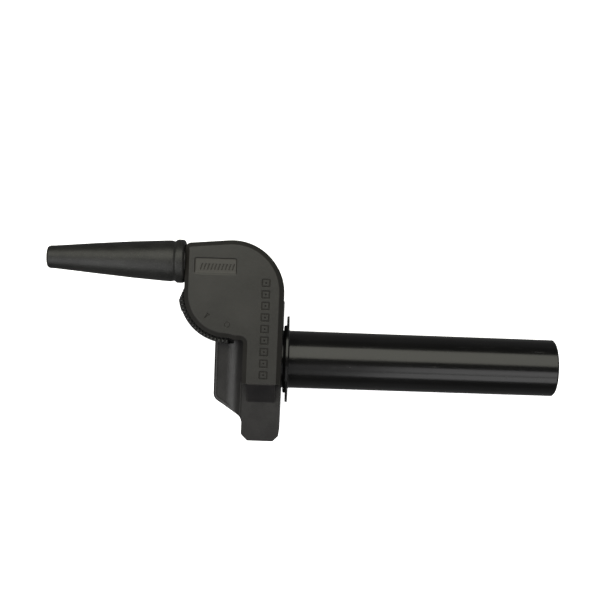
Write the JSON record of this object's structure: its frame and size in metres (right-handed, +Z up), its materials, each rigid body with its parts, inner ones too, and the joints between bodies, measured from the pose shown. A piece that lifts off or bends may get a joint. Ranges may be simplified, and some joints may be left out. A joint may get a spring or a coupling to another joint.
{
  "type": "throttle grip",
  "caption": "Quick-action motorcycle throttle grip: clamp housing with a right-angle cable outlet and boot, and a turning throttle tube.",
  "frame": {"origin": "on the handlebar axis, in the inboard face of the clamp block", "axes": "+X along the handlebar toward the grip's free end, +Y forward toward the cable outlet, +Z up out of the cover's face"},
  "size_m": [0.2275, 0.0875, 0.0498],
  "materials": {
    "housing": "fine moulded grain, satin black",
    "cover": "fine moulded grain, matt dark grey",
    "tube_plastic": "smooth black nylon",
    "quadrant_plastic": "satin black",
    "pulley_plastic": "natural acetal",
    "nylon": "natural nylon",
    "fibre": "pressed fibre",
    "seal_rubber": "matt",
    "boot_rubber": "satin moulded rubber",
    "zinc_steel": "bright zinc plated",
    "spring_steel": "dark spring steel",
    "brass": "turned"
  },
  "bodies": {
    "housing": {"housing_body": "housing", "rear_clamp_half": "housing", "top_cover": "cover", "clamp_screws": "zinc_steel", "clamp_inserts": "brass", "housing_screws": "zinc_steel", "cover_screws": "zinc_steel", "thrust_washer": "nylon", "pulley_axle": "zinc_steel", "axle_clip": "spring_steel", "pulley_washer": "nylon", "friction_washer": "fibre", "spring_washer": "spring_steel", "adjuster_bush": "housing", "adjuster_locknut": "zinc_steel", "cable_boot": "boot_rubber"},
    "throttle": {"throttle_tube": "tube_plastic", "tube_seal": "seal_rubber"},
    "pulley": {"guide_pulley": "pulley_plastic", "pulley_bush": "brass"},
    "quadrant": {"friction_quadrant": "quadrant_plastic"},
    "adjuster": {"cable_adjuster": "zinc_steel"}
  },
  "joints": [
    {"name": "throttle_twist", "type": "hinge", "parent": "housing", "child": "throttle", "pos_m": [0.0194, 0, 0], "axis": [1, 0, 0], "range_deg": [0, 90]},
    {"name": "pulley_turn", "type": "hinge", "parent": "housing", "child": "pulley", "pos_m": [0.0056, 0.0286, 0.0175], "axis": [0, 0, 1], "range_deg": [-114.5, 0.5]},
    {"name": "quadrant_set", "type": "hinge", "parent": "housing", "child": "quadrant", "pos_m": [0.0056, 0.0286, 0.0115], "axis": [0, 0, 1], "range_deg": [-5, 5]},
    {"name": "adjuster_travel", "type": "slide", "parent": "housing", "child": "adjuster", "axis": [-1, 0, 0], "range_m": [0, 0.005]}
  ],
  "couplings": [
    {"joint": "pulley_turn", "follows": "throttle_twist", "ratio": -1.2681}
  ]
}
